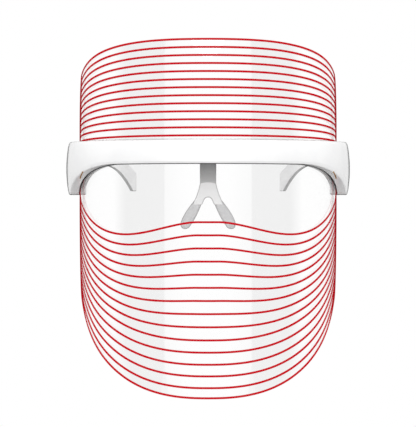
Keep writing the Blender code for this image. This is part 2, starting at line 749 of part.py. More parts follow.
def charging_port(material):
    """Receptacle with its mouth down, behind the slot in the block's underside."""
    port = plan_stadium("charging_port", PORT_RUN, PORT_OUT, PORT_HEIGHT, PORT_SIZE, material)
    mouth = plan_stadium("port_mouth", PORT_RUN, PORT_OUT, MOUTH_HEIGHT, MOUTH_SIZE)
    tongue = plan_box("port_tongue", PORT_RUN, PORT_OUT, PORT_TONGUE_HEIGHT, PORT_TONGUE_SIZE)
    combine(port, [mouth], "DIFFERENCE")
    combine(port, [tongue], "UNION")
    smooth(port)


def band_cable(material):
    """Flat cable through the band, clear of the screw bosses, from block to block."""
    section = [(out, height) for out, height in
               ((CABLE_OUT[0], CABLE_HEIGHT[0]), (CABLE_OUT[1], CABLE_HEIGHT[0]),
                (CABLE_OUT[1], CABLE_HEIGHT[1]), (CABLE_OUT[0], CABLE_HEIGHT[1]))]
    rings = [[on_plan(run, *point) for point in section]
             for run in spread(-CABLE_END, CABLE_END, CABLE_STEPS)]
    loft("band_cable", rings, material)


def power_button(material):
    """Slot-shaped cap that stands just proud of the block's top, with a flange under the wall."""
    heights = (BUTTON_FOOT, band_top(BUTTON_RUN) + BUTTON_PROUD)
    button = plan_stadium("power_button", BUTTON_RUN, BUTTON_OUT, heights, BUTTON_SIZE, material)
    flange = plan_stadium("button_flange", BUTTON_RUN, BUTTON_OUT, FLANGE_HEIGHT, FLANGE_SIZE)
    combine(button, [flange], "UNION")
    smooth(button)


def main():
    for obj in list(bpy.data.objects):
        bpy.data.objects.remove(obj)
    white = make_material("white_shell", (0.9, 0.9, 0.9), 0.12)
    clear = make_material("clear_sheet", (0.95, 0.96, 0.97), 0.05, alpha=0.25)
    black = make_material("seal_rubber", (0.02, 0.02, 0.02), 0.6)
    steel = make_material("steel", (0.6, 0.6, 0.6), 0.3, 1.0)
    frosted = make_material("frosted_grey", (0.8, 0.8, 0.8), 0.4)
    silicone = make_material("silicone", (0.62, 0.62, 0.63), 0.5)
    board = make_material("board_green", (0.05, 0.2, 0.09), 0.4)
    flex = make_material("amber_flex", (0.75, 0.42, 0.12), 0.35)
    light = {"board": board, "flex": flex, "led": make_material("led_red", (0.8, 0.05, 0.05), 0.3)}
    foil = make_material("battery_foil", (0.55, 0.57, 0.6), 0.35, 0.6)
    front_shell(white)
    rear_shell(white)
    face_shield(clear)
    lower_seal(black)
    shell_screws(steel)
    for side in (-1, 1):
        arm(side, white)
    hinge_pins(steel)
    nose_bridge(frosted)
    nose_pads(silicone)
    power_button(white)
    tact_switch(make_material("switch_black", (0.03, 0.03, 0.03), 0.5))
    light_sources(light)
    placed_box("main_board", 1, MAIN_BOARD_PLACE, MAIN_BOARD_SIZE, board)
    placed_box("battery", 1, BATTERY_PLACE, BATTERY_SIZE, foil)
    charging_port(steel)
    band_cable(flex)


main()
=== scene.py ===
# Looks of the LED face mask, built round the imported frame: fine surfaces, materials, studio and camera.
import json
import math

import bmesh
import bpy
import numpy as np
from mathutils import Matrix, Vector

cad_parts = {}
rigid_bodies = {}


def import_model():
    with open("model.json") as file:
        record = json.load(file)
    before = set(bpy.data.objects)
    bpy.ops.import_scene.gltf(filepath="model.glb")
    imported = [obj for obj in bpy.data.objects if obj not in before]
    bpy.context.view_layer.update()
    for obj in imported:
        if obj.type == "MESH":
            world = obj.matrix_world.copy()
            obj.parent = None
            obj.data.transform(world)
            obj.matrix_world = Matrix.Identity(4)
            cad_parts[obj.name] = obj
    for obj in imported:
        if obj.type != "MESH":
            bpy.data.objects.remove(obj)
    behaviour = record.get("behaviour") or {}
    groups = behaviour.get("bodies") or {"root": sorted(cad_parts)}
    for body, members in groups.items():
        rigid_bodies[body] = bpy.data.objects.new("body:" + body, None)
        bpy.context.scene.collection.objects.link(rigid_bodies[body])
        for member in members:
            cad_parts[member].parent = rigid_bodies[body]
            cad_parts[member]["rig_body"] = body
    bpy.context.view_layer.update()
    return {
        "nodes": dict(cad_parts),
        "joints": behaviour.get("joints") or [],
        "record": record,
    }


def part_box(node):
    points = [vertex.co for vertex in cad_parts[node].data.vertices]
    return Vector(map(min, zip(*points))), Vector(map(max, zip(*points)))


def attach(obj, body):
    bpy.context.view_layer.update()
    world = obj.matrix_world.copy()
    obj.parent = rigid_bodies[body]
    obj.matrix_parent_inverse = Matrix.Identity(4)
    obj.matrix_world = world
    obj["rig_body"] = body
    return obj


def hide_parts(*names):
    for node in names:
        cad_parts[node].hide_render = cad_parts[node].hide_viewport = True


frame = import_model()
nodes = frame["nodes"]
mm = 0.001
print("frame loaded:", len(nodes), "nodes")


# Plan curve shared by the shield, the band and the lines.

planCurve = {
    "noseDepth": 32 * mm,                 # nose rest behind the shield's front
    "frontRadius": 100 * mm,
    "frontTurn": math.radians(40),
    "sideRadius": 65.3 * mm,
    "sideTurn": math.radians(46.7),       # past this the curve runs straight
}


def onPlan(run, out, height):
    # Two arcs and a straight: the point this far along the curve, moved out along its normal, at a height.
    run, out, height = np.broadcast_arrays(*(np.asarray(v, float) for v in (run, out, height)))
    frontRadius, frontTurn = planCurve["frontRadius"], planCurve["frontTurn"]
    sideRadius, sideTurn = planCurve["sideRadius"], planCurve["sideTurn"]
    along = np.abs(run)
    frontRun, sideRun = frontRadius * frontTurn, sideRadius * sideTurn
    front = np.clip(along / frontRadius, 0, frontTurn)
    side = np.clip((along - frontRun) / sideRadius, 0, sideTurn)
    straight = np.clip(along - frontRun - sideRun, 0, None)
    turn = front + side
    x = frontRadius * np.sin(front) + sideRadius * (np.sin(frontTurn + side) - np.sin(frontTurn))
    y = frontRadius * (1 - np.cos(front)) + sideRadius * (np.cos(frontTurn) - np.cos(frontTurn + side))
    x = x + straight * np.cos(turn) + out * np.sin(turn)
    y = y + straight * np.sin(turn) - out * np.cos(turn)
    return np.stack([np.sign(run + 1e-12) * x, y - planCurve["noseDepth"], height], -1)


# Mesh helpers.

def meshFrom(name, points, faces, material):
    mesh = bpy.data.meshes.new(name)
    mesh.from_pydata(points.reshape(-1, 3).tolist(), [], faces)
    mesh.materials.append(material)
    piece = bpy.data.objects.new(name, mesh)
    bpy.context.scene.collection.objects.link(piece)
    return piece


def faceOut(piece):
    shape = bmesh.new()
    shape.from_mesh(piece.data)
    bmesh.ops.recalc_face_normals(shape, faces=shape.faces)
    shape.to_mesh(piece.data)
    shape.free()


def smoothShade(piece, sharp=40):
    piece.data.shade_smooth()
    piece.data.set_sharp_from_angle(angle=math.radians(sharp))


def ringFaces(rows, columns, start=0):
    # Quads between neighbouring rings of a grid whose rings close on themselves.
    i, j = np.meshgrid(np.arange(rows - 1), np.arange(columns), indexing="ij")
    k = (j + 1) % columns
    quads = np.stack([i * columns + j, i * columns + k, (i + 1) * columns + k, (i + 1) * columns + j], -1)
    return (quads.reshape(-1, 4) + start).tolist()


def skin(name, rings, material, sharp=40):
    # Closed rings (rows, columns, 3) joined into one skin, with a flat cap at each end.
    rows, columns = rings.shape[:2]
    caps = [list(range(columns))[::-1], list(range((rows - 1) * columns, rows * columns))]
    piece = meshFrom(name, rings, ringFaces(rows, columns) + caps, material)
    faceOut(piece)
    smoothShade(piece, sharp)
    return piece


def applied(piece):
    # Makes the piece's modifiers part of its mesh.
    bpy.context.view_layer.update()
    graph = bpy.context.evaluated_depsgraph_get()
    mesh = bpy.data.meshes.new_from_object(piece.evaluated_get(graph))
    piece.modifiers.clear()
    piece.data = mesh


def combined(piece, tools, operation):
    for tool in tools:
        step = piece.modifiers.new(operation, "BOOLEAN")
        step.operation, step.solver, step.object = operation, "MANIFOLD", tool
    applied(piece)
    for tool in tools:
        bpy.data.objects.remove(tool)


def slotRing(length, width, sides=12):
    # Two half circles joined by straights, as (u, v).
    angle = np.radians(np.concatenate([np.linspace(-90, 90, sides + 1), np.linspace(90, 270, sides + 1)]))
    reach = np.repeat([1, -1], sides + 1) * (length - width) / 2
    return np.stack([reach + width / 2 * np.cos(angle), width / 2 * np.sin(angle)], -1)


def uprightSlot(name, run, out, low, high, length, width, material):
    # A slot-shaped prism standing on the plan curve, its length along the curve.
    ring = slotRing(length, width)
    points = [onPlan(run + ring[:, 0], out + ring[:, 1], height) for height in (low, high)]
    return skin(name, np.stack(points), material)


def refined(node, material, edge, sharp=35):
    # A copy of a CAD node's mesh with its loose triangles merged, smooth shading and eased edges.
    piece = bpy.data.objects.new("fine_" + node, nodes[node].data.copy())
    bpy.context.scene.collection.objects.link(piece)
    shape = bmesh.new()
    shape.from_mesh(piece.data)
    bmesh.ops.remove_doubles(shape, verts=shape.verts, dist=1e-6)
    bmesh.ops.dissolve_limit(shape, angle_limit=math.radians(1), verts=shape.verts, edges=shape.edges)
    shape.to_mesh(piece.data)
    shape.free()
    piece.data.materials.clear()
    piece.data.materials.append(material)
    ease = piece.modifiers.new("ease", "BEVEL")
    ease.width, ease.segments, ease.limit_method = edge, 2, "ANGLE"
    ease.angle_limit, ease.use_clamp_overlap = math.radians(sharp), True
    applied(piece)
    smoothShade(piece, sharp)
    return piece


def settle(piece, body, slot, *replaced):
    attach(piece, body)
    if replaced:
        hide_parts(*replaced)


# Materials.

def newMaterial(name, **values):
    material = bpy.data.materials.new(name)
    material.use_nodes = True
    shader = material.node_tree.nodes["Principled BSDF"]
    for socket, value in values.items():
        shader.inputs[socket].default_value = value
    return material, material.node_tree, shader


def addNode(tree, kind, inputs=None, **settings):
    node = tree.nodes.new(kind)
    for key, value in settings.items():
        setattr(node, key, value)
    for key, value in (inputs or {}).items():
        if isinstance(value, bpy.types.NodeSocket):
            tree.links.new(value, node.inputs[key])
        else:
            node.inputs[key].default_value = value
    return node


def placeOf(tree):
    return addNode(tree, "ShaderNodeTexCoord").outputs["Object"]


def axesOf(tree, vector):
    return addNode(tree, "ShaderNodeSeparateXYZ", {"Vector": vector}).outputs


def mathOn(tree, operation, *values):
    return addNode(tree, "ShaderNodeMath", dict(enumerate(values)), operation=operation).outputs[0]


def greyOf(tree, level):
    levels = dict.fromkeys(("Red", "Green", "Blue"), level)
    return addNode(tree, "ShaderNodeCombineColor", levels).outputs["Color"]


def noiseOn(tree, scale, detail=3.0):
    inputs = {"Vector": placeOf(tree), "Scale": scale, "Detail": detail}
    return addNode(tree, "ShaderNodeTexNoise", inputs).outputs["Fac"]


def between(tree, value, low, high, fromLow=0.0, fromHigh=1.0):
    return addNode(tree, "ShaderNodeMapRange", {"Value": value, "From Min": fromLow, "From Max": fromHigh,
                                               "To Min": low, "To Max": high}).outputs["Result"]


def blendColour(tree, share, first, second):
    mix = addNode(tree, "ShaderNodeMix", data_type="RGBA")
    tree.links.new(share, mix.inputs["Factor"])
    for name, value in (("A", first), ("B", second)):
        socket = [s for s in mix.inputs if s.name == name and s.type == "RGBA"][0]
        if isinstance(value, bpy.types.NodeSocket):
            tree.links.new(value, socket)
        else:
            socket.default_value = (*value, 1)
    return [s for s in mix.outputs if s.type == "RGBA"][0]


def bumpFrom(tree, shader, height, depth, strength):
    bump = addNode(tree, "ShaderNodeBump", {"Height": height, "Distance": depth, "Strength": strength})
    tree.links.new(bump.outputs["Normal"], shader.inputs["Normal"])


def tinted(tree, shader, share, first, second):
    # Base colour that goes from first to second as share goes from 0 to 1.
    tree.links.new(blendColour(tree, share, first, second), shader.inputs["Base Color"])


def unevenPolish(tree, shader, scale, low, high):
    # Roughness that wanders between two values.
    tree.links.new(between(tree, noiseOn(tree, scale), low, high), shader.inputs["Roughness"])


def marked(tree, name, first=0.0, last=1.0):
    # A number stored on the piece's own mesh, stretched from first..last to 0..1.
    stored = addNode(tree, "ShaderNodeAttribute", attribute_name=name).outputs["Fac"]
    return between(tree, stored, 0, 1, first, last)


def shellWhite():
    # Gloss white moulding, faintly wavy and unevenly polished. A mark on the arms paints grey shade on
    # their undersides and tip ends.
    material, tree, shader = newMaterial("shell white", **{"Base Color": (0.9, 0.9, 0.9, 1), "IOR": 1.5})
    tone = between(tree, noiseOn(tree, 90), 0, 1, 0.35, 0.65)
    plain = blendColour(tree, tone, (0.88, 0.88, 0.885), (0.905, 0.905, 0.905))
    tinted(tree, shader, marked(tree, "painted_shade"), plain, (0.5, 0.5, 0.5))
    unevenPolish(tree, shader, 900, 0.1, 0.17)
    bumpFrom(tree, shader, noiseOn(tree, 260, 2), 0.00001, 0.5)
    return material


# Painted dark edge shade on the casing's blocks: where it fades in and out.
blockEdgeShade = {
    "fadeIn": (-1.5 * mm, -1.2 * mm),     # along Y, from the block's inner end
    "fadeOut": (0.2 * mm, 0.4 * mm),
    "foot": (0.5 * mm, 0.7 * mm),         # up from the block's underside
    "grey": (0.3, 0.3, 0.3),
}


def rearWhiteEdgeShade():
    # The rear casing: the same white, with painted grey shade round the inner end and along the foot of
    # each block.
    material = shellWhite()
    material.name = "shell rear"
    tree = material.node_tree
    place = axesOf(tree, placeOf(tree))
    end, low = float(onPlan(band["end"], 0, 0)[1]), band["blockLow"]
    near = between(tree, place["Y"], 0, 1, *(end + reach for reach in blockEdgeShade["fadeIn"]))
    before = between(tree, place["Y"], 1, 0, *(end + reach for reach in blockEdgeShade["fadeOut"]))
    foot = between(tree, place["Z"], 1, 0, *(low + reach for reach in blockEdgeShade["foot"]))
    either = mathOn(tree, "MAXIMUM", mathOn(tree, "MULTIPLY", near, before), foot)
    colour = tree.nodes["Principled BSDF"].inputs["Base Color"]
    plain = colour.links[0].from_socket
    tree.links.new(blendColour(tree, either, plain, blockEdgeShade["grey"]), colour)
    return material


def sheetClear():
    # Clear polished sheet: sees through, mirrors by angle.
    material, tree, shader = newMaterial("sheet clear")
    tree.nodes.remove(shader)
    haze = between(tree, noiseOn(tree, 40), 0.996, 1.0)
    through = addNode(tree, "ShaderNodeBsdfTransparent", {"Color": greyOf(tree, haze)}).outputs[0]
    mirror = addNode(tree, "ShaderNodeBsdfGlossy", {"Color": (1, 1, 1, 1), "Roughness": 0.0}).outputs[0]
    inside = addNode(tree, "ShaderNodeNewGeometry").outputs["Backfacing"]
    outerIndex = 1.65
    index = between(tree, inside, outerIndex, 1 / outerIndex)  # the same share of light in and out
    share = addNode(tree, "ShaderNodeFresnel", {"IOR": index}).outputs[0]
    both = addNode(tree, "ShaderNodeMixShader", {0: share, 1: through, 2: mirror}).outputs[0]
    tree.links.new(both, tree.nodes["Material Output"].inputs["Surface"])
    return material


def lineRed():
    # Engraved groove lit from the edge. Painted shade darkens its red and glow towards the sides, where the
    # sheet turns away.
    material, tree, shader = newMaterial("line red", **{"Roughness": 0.6, "Specular IOR Level": 0.0})
    frontDepth, sideDepth = 8 * mm, 40 * mm
    share = between(tree, axesOf(tree, placeOf(tree))["Y"], 0, 1, frontDepth, sideDepth)
    tinted(tree, shader, share, (0.24, 0.004, 0.007), (0.12, 0.003, 0.006))
    glow = blendColour(tree, share, (0.32, 0.004, 0.008), (0.13, 0.002, 0.005))
    tree.links.new(glow, shader.inputs["Emission Color"])
    shader.inputs["Emission Strength"].default_value = 1.0
    return material


def rubberBlack():
    material, tree, shader = newMaterial("rubber black", **{"Specular IOR Level": 0.3})
    tinted(tree, shader, noiseOn(tree, 1500), (0.012, 0.012, 0.012), (0.03, 0.03, 0.03))
    unevenPolish(tree, shader, 2500, 0.5, 0.75)
    return material


def steelPlain():
    material, tree, shader = newMaterial("steel plain", **{"Metallic": 1.0})
    tinted(tree, shader, noiseOn(tree, 3000), (0.5, 0.5, 0.51), (0.66, 0.66, 0.67))
    unevenPolish(tree, shader, 5000, 0.22, 0.4)
    return material


# Painted darker shade near the outlines of the nose pieces.
rimShadeFade = (0.15, 0.7)                     # of a nose piece's stored rim mark

# Painted shade on the stem under the band: the border where it starts and where it deepens.
stemShade = {
    "bow": 31.0,                          # per metre: the border falls by this times the square of X
    "border": (20.4 * mm, 21 * mm),       # heights at the middle, between which it fades in
    "deepens": (21 * mm, 33 * mm),
}


def frostedGrey():
    # Frosted nose piece: painted shade darkens the stem where it leaves the band, light over the fork, with
    # painted darker shade at its rims.
    material, tree, shader = newMaterial("frosted grey", **{"Roughness": 0.38, "IOR": 1.45})
    place = axesOf(tree, placeOf(tree))
    bow = mathOn(tree, "MULTIPLY", place["X"], place["X"])
    height = mathOn(tree, "MULTIPLY_ADD", bow, stemShade["bow"], place["Z"])
    deeper = between(tree, height, 0, 1, *stemShade["deepens"])
    shadedStem = blendColour(tree, deeper, (0.42, 0.42, 0.42), (0.1, 0.1, 0.1))
    fork = blendColour(tree, marked(tree, "rim", *rimShadeFade), (0.84, 0.84, 0.84), (0.4, 0.4, 0.4))
    tinted(tree, shader, between(tree, height, 0, 1, *stemShade["border"]), fork, shadedStem)
    bumpFrom(tree, shader, noiseOn(tree, 3500, 2), 0.00002, 0.4)
    return material


def siliconeGrey():
    # Soft pads, with painted darker shade at the rims.
    material, tree, shader = newMaterial("silicone grey", **{"IOR": 1.41})
    plain = blendColour(tree, noiseOn(tree, 350), (0.53, 0.53, 0.535), (0.6, 0.6, 0.605))
    tinted(tree, shader, marked(tree, "rim", *rimShadeFade), plain, (0.34, 0.34, 0.34))
    unevenPolish(tree, shader, 2000, 0.42, 0.58)
    bumpFrom(tree, shader, noiseOn(tree, 2800, 2), 0.00002, 0.5)
    return material


def boardGreen():
    # Solder mask with a fine run of tracks under it.
    material, tree, shader = newMaterial("board green", **{"Roughness": 0.35})
    wave = {"Vector": placeOf(tree), "Scale": 380.0, "Distortion": 6.0, "Detail": 2.0}
    tracks = addNode(tree, "ShaderNodeTexWave", wave, bands_direction="Z").outputs["Fac"]
    share = between(tree, tracks, 0, 1, 0.55, 0.7)
    tinted(tree, shader, share, (0.01, 0.09, 0.035), (0.03, 0.2, 0.08))
    return material


def ledLens():
    material, tree, shader = newMaterial("led lens", **{"Roughness": 0.2, "Emission Strength": 1.2})
    tinted(tree, shader, noiseOn(tree, 2500), (0.6, 0.02, 0.02), (0.85, 0.06, 0.05))
    shader.inputs["Emission Color"].default_value = (0.9, 0.03, 0.03, 1)
    return material


def flexAmber():
    # Polyimide film with copper tracks showing through.
    material, tree, shader = newMaterial("flex amber", **{"Roughness": 0.3})
    wave = {"Vector": placeOf(tree), "Scale": 300.0}
    tracks = addNode(tree, "ShaderNodeTexWave", wave, bands_direction="Z").outputs["Fac"]
    share = between(tree, tracks, 0, 1, 0.45, 0.6)
    tinted(tree, shader, share, (0.62, 0.3, 0.08), (0.72, 0.42, 0.16))
    return material


def foilSilver():
    material, tree, shader = newMaterial("foil silver", **{"Metallic": 0.85})
    tinted(tree, shader, noiseOn(tree, 500), (0.5, 0.52, 0.55), (0.66, 0.68, 0.7))
    unevenPolish(tree, shader, 800, 0.25, 0.45)
    bumpFrom(tree, shader, noiseOn(tree, 350, 4), 0.0001, 0.6)
    return material


def switchBlack():
    material, tree, shader = newMaterial("switch black")
    tinted(tree, shader, noiseOn(tree, 2000), (0.015, 0.015, 0.015), (0.04, 0.04, 0.04))
    unevenPolish(tree, shader, 3000, 0.4, 0.6)
    return material


finishes = {
    "white_shell": shellWhite(), "clear_sheet": sheetClear(), "engraved_light": lineRed(),
    "seal_rubber": rubberBlack(), "steel": steelPlain(), "frosted_grey": frostedGrey(),
    "silicone": siliconeGrey(), "board_green": boardGreen(), "led_red": ledLens(),
    "amber_flex": flexAmber(), "battery_foil": foilSilver(), "switch_black": switchBlack(),
}
print("materials made:", len(finishes))


def dressNodes():
    # Every CAD node gets the procedural finish of its own slot.
    for part in frame["record"]["subparts"]:
        slots = nodes[part["node"]].data.materials
        slots.clear()
        slots.append(finishes[part["material_slot"]])


dressNodes()


# Shield and its lines.

shieldLow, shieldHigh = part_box("face_shield")
shield = {
    "thick": 1.8 * mm,
    "end": 146 * mm,
    "top": shieldHigh.z,
    "bottom": shieldLow.z,
    "topMeets": 45 * mm,                  # heights that the two fans of lines close in on at the sides
    "bottomMeets": 30 * mm,
    "shoulderShape": (3.14, 0.62),
    "chinShape": (2.5, 0.815),
    "reach": 146.4 * mm,
    "turnDown": (110 * mm, 130 * mm),     # runs between which both edges close in on the block
    "stepsAlong": 260,
    "stepsUp": 10,
    "edgeSteps": 5,
}


def falling(run, shape):
    # One at the centre, nothing past the turn-down at the side.
    first, last = shield["turnDown"]
    side = (1 + np.cos(math.pi * np.clip((np.abs(run) - first) / (last - first), 0, 1))) / 2
    return side * (1 - (np.abs(run) / shield["reach"]) ** shape[0]) ** shape[1]


def shoulder(run):
    return falling(run, shield["shoulderShape"])


def chin(run):
    return falling(run, shield["chinShape"])


def shieldTop(run):
    return shield["topMeets"] + (shield["top"] - shield["topMeets"]) * shoulder(run)


def shieldBottom(run):
    return shield["bottomMeets"] + (shield["bottom"] - shield["bottomMeets"]) * chin(run)


def crowdedRuns(end, steps):
    # Runs from side to side that crowd towards the ends, where the outline is steep.
    return end * np.sin(np.linspace(-math.pi / 2, math.pi / 2, steps + 1))


def makeShield():
    # Section: outer face up, half-round top edge, inner face down, half-round bottom edge.
    run = crowdedRuns(shield["end"], shield["stepsAlong"])[:, None]
    low, high = shieldBottom(run), shieldTop(run)
    radius = shield["thick"] / 2
    up = np.linspace(0, 1, shield["stepsUp"])[None, :]
    bend = np.linspace(0, math.pi, shield["edgeSteps"] + 2)[None, 1:-1]
    outs = [0 * up, -radius + radius * np.cos(bend), 0 * up - 2 * radius, -radius - radius * np.cos(bend)]
    highs = [low + radius + (high - low - 2 * radius) * up, high - radius + radius * np.sin(bend),
             high - radius - (high - low - 2 * radius) * up, low + radius - radius * np.sin(bend)]
    rows = len(run)
    out = np.concatenate([np.broadcast_to(o, (rows, o.shape[1])) for o in outs], 1)
    height = np.concatenate([np.broadcast_to(h, (rows, h.shape[1])) for h in highs], 1)
    piece = skin("clearShield", onPlan(run, out, height), finishes["clear_sheet"], sharp=60)
    settle(piece, "band", "clear_sheet", "face_shield")


makeShield()

lines = {
    "foreheadCount": 13,
    "foreheadLowest": 50.8 * mm,          # at the centre
    "eyeLine": -5.3 * mm,                 # first line under the eyes, at the centre
    "eyeDip": 11.36 * mm,                 # how far it sags under each eye
    "eyeDipRuns": (7 * mm, 127 * mm),
    "eyeDipShape": 1.67,
    "evenCount": 10,                      # evenly spaced lines from the eye line down
    "evenLast": -81.6 * mm,
    "chinDrops": (7.9, 15.7, 23.2, 30.8), # mm below the last even line
    "halfWide": 0.67 * mm,
    "halfDeep": 0.3 * mm,
    "centreOut": (-0.25 * mm, 0.0 * mm),  # at the front and at the sides, where they stand out of the sheet
    "turnRuns": (100 * mm, 130 * mm),
    "widenRuns": (114 * mm, 134 * mm),
    "widen": (1.0, 2.0),
    "end": 145.6 * mm,
    "steps": 260,
    "sides": 12,
    "roundness": 0.35,
}


def squared(wave, power):
    # A sine or cosine whose humps are flattened: 1 leaves it, 0 makes it square.
    return np.sign(wave) * np.abs(wave) ** power


def superRing(halfWide, halfHigh, sides, power):
    # A ring between an oval and a rectangle, as (u, v).
    angle = (np.arange(sides) + 0.5) * 2 * math.pi / sides
    return halfWide * squared(np.cos(angle), power), halfHigh * squared(np.sin(angle), power)


def foreheadLine(start):
    def height(run):
        return shield["topMeets"] + (start - shield["topMeets"]) * shoulder(run)
    return height


def faceLine(start, dip):
    first, last = lines["eyeDipRuns"]

    def height(run):
        window = np.clip((np.abs(run) - first) / (last - first), 0, 1)
        sag = dip * np.sin(math.pi * window) ** lines["eyeDipShape"]
        return shield["bottomMeets"] + (start - shield["bottomMeets"]) * chin(run) - sag
    return height


def lineHeights():
    inset = lines["halfWide"]
    forehead = [foreheadLine(start) for start in
                np.linspace(shield["top"] - inset, lines["foreheadLowest"], lines["foreheadCount"])]
    starts = np.linspace(lines["eyeLine"], lines["evenLast"], lines["evenCount"])
    fades = np.linspace(1, 0, lines["evenCount"])
    face = [faceLine(start, lines["eyeDip"] * fade) for start, fade in zip(starts, fades)]
    chinStarts = [lines["evenLast"] - drop * mm for drop in lines["chinDrops"]] + [shield["bottom"] + inset]
    return forehead, face + [faceLine(start, 0) for start in chinStarts]


def makeLines(name, heights):
    # Each line is a flat thread carried along its height curve, set into the shield's outer face.
    run = crowdedRuns(lines["end"], lines["steps"])
    across, deep = superRing(lines["halfWide"], lines["halfDeep"], lines["sides"], lines["roundness"])
    points, faces = [], []
    for height in heights:
        centre = height(run)
        slope = np.gradient(centre, run)
        along = 1 / np.sqrt(1 + slope ** 2)
        wide = across[None, :] * np.interp(np.abs(run), lines["widenRuns"], lines["widen"])[:, None]
        out = np.interp(np.abs(run), lines["turnRuns"], lines["centreOut"])[:, None] + deep[None, :]
        runs = run[:, None] - wide * (slope * along)[:, None]
        heightsHere = centre[:, None] + wide * along[:, None]
        start = len(points) * run.size * across.size
        ring = onPlan(np.clip(runs, -shield["end"], shield["end"]), out, heightsHere)
        points.append(ring)
        faces += ringFaces(run.size, across.size, start)
        faces += [list(range(start, start + across.size))[::-1],
                  list(range(start + (run.size - 1) * across.size, start + run.size * across.size))]
    piece = meshFrom(name, np.stack(points), faces, finishes["engraved_light"])
    faceOut(piece)
    smoothShade(piece, sharp=70)
    piece.visible_diffuse = False         # their red doesn't tint the white parts round them
    settle(piece, "band", "engraved_light")


foreheadHeights, faceHeights = lineHeights()
makeLines("foreheadLines", foreheadHeights)
makeLines("faceLines", faceHeights)
print("shield and lines made")


# Brow band.

band = {
    "low": 32.7 * mm,
    "high": 47.75 * mm,
    "endRise": 1.9 * mm,
    "blockLow": 13.3 * mm,
    "end": 155 * mm,
    "archRuns": (60 * mm, 122 * mm),
    "proud": (6.8 * mm, 9.9 * mm),
    "crown": (1.0 * mm, 1.8 * mm),
    "crownShare": 0.82,                   # of the half height, between the rounded edges
    "crownSteps": 15,
    "edgeRound": 1.2 * mm,
    "edgeTurn": (90, 8),                  # degrees that each rounded edge turns through
    "edgeSteps": 7,
    "endRound": 3 * mm,
    "curlSteps": 7,
    "wall": 1.5 * mm,
    "back": 0.7 * mm,
    "hollowBack": -0.5 * mm,              # behind the flat back, so the casing is open there
    "stepsAlong": 220,
    "sharp": 32,
}


def bandLow(run):
    first, last = band["archRuns"]
    reach = np.clip((np.abs(run) - first) / (last - first), 0, 1)
    return band["low"] - (band["low"] - band["blockLow"]) * reach ** 2


def bandHigh(run):
    return band["high"] + band["endRise"] * (run / band["end"]) ** 2


def alongBand(pair, run):
    return pair[0] + (pair[1] - pair[0]) * (run / band["end"]) ** 2


def bandProud(run):
    past = np.clip((np.abs(run) - (band["end"] - band["endRound"])) / band["endRound"], 0, 1)
    return alongBand(band["proud"], run) - band["endRound"] * (1 - np.sqrt(1 - past ** 2))


def bandRuns(end):
    roundStart = band["end"] - band["endRound"]
    middle = np.linspace(-roundStart, roundStart, band["stepsAlong"])
    curl = roundStart + (end - roundStart) * np.sin(np.linspace(0, math.pi / 2, band["curlSteps"] + 1))[1:]
    return np.concatenate([-curl[::-1], middle, curl])[:, None]


def bandSection(run):
    # Crowned front between two rounded edges, closed by a flat back.
    low, high, proud = bandLow(run), bandHigh(run), bandProud(run)
    crown, edge = alongBand(band["crown"], run), band["edgeRound"]
    middle, half = (low + high) / 2, (high - low) / 2
    bend = np.radians(np.linspace(*band["edgeTurn"], band["edgeSteps"]))[None, :]
    part = np.linspace(-band["crownShare"], band["crownShare"], band["crownSteps"])[None, :]
    back = 0 * low + band["back"]
    out = np.concatenate([back, proud - crown - edge + edge * np.cos(bend), proud - crown * part ** 2,
                          proud - crown - edge + edge * np.cos(bend[:, ::-1]), back], 1)
    height = np.concatenate([low, low + edge - edge * np.sin(bend), middle + half * part,
                             high - edge + edge * np.sin(bend[:, ::-1]), high], 1)
    return onPlan(run, out, height)


slit = {
    "runs": (91 * mm, 102.5 * mm),        # of the light flex, from its front end to its back end
    "outs": (6.0 * mm, 3.0 * mm),
    "length": 14 * mm,
    "top": 43 * mm,
    "below": 1 * mm,                      # past the casing's lower edge
    "halfThick": 0.2 * mm,
    "gap": 0.3 * mm,                      # round the flex
    "steps": 25,
}


def slitCutter(side):
    # Cutter for the slit round the light flex: an upright strip that nears the shield as it goes back.
    share = slit["gap"] / slit["length"]
    part = np.linspace(0, 1, slit["steps"])[:, None]
    part = part * (1 + 2 * share) - share
    run = side * (slit["runs"][0] + (slit["runs"][1] - slit["runs"][0]) * part)
    spine = onPlan(run, slit["outs"][0] + (slit["outs"][1] - slit["outs"][0]) * part, 0)
    low, high = bandLow(run) - slit["below"], 0 * run + slit["top"] + slit["gap"]
    across = np.array([-1, 1, 1, -1])[None, :] * (slit["halfThick"] + slit["gap"])
    height = np.concatenate([low, low, high, high], 1)
    ring = np.stack([spine[:, :, 0] + across, spine[:, :, 1] + 0 * across, height], -1)
    return skin("slit", ring, finishes["white_shell"])


controlHoles = {
    "button": {"run": 129 * mm, "out": 4.1 * mm, "low": 45 * mm, "high": 52 * mm,
               "length": 10.6 * mm, "width": 4.8 * mm},
    "port": {"run": 137 * mm, "out": 3.9 * mm, "low": 11 * mm, "high": 16 * mm,
             "length": 9.7 * mm, "width": 4.0 * mm},
}


def makeFrontShell():
    white = finishes["white_shell"]
    piece = skin("frontShell", bandSection(bandRuns(band["end"])), white, band["sharp"])
    inner = bandRuns(band["end"] - band["wall"])
    deep = bandProud(inner) - alongBand(band["crown"], inner) - band["wall"]
    back = 0 * deep + band["hollowBack"]
    low, high = bandLow(inner) + band["wall"], bandHigh(inner) - band["wall"]
    hollow = onPlan(inner, np.concatenate([back, back, deep, deep], 1),
                    np.concatenate([high, low, low, high], 1))
    tools = [skin("hollow", hollow, white)]
    tools += [uprightSlot("hole", material=white, **hole) for hole in controlHoles.values()]
    tools += [slitCutter(side) for side in (-1, 1)]
    combined(piece, tools, "DIFFERENCE")
    smoothShade(piece, band["sharp"])
    settle(piece, "band", "white_shell", "front_shell")


sealShadowLine = {
    "out": 0.35 * mm,                     # its middle, off the shield's face
    "up": 0.275 * mm,                     # its middle, above the casing's lower edge
    "halfDeep": 0.25 * mm,
    "halfHigh": 0.625 * mm,
    "roundness": 0.5,
    "steps": 240,
    "sides": 12,
}


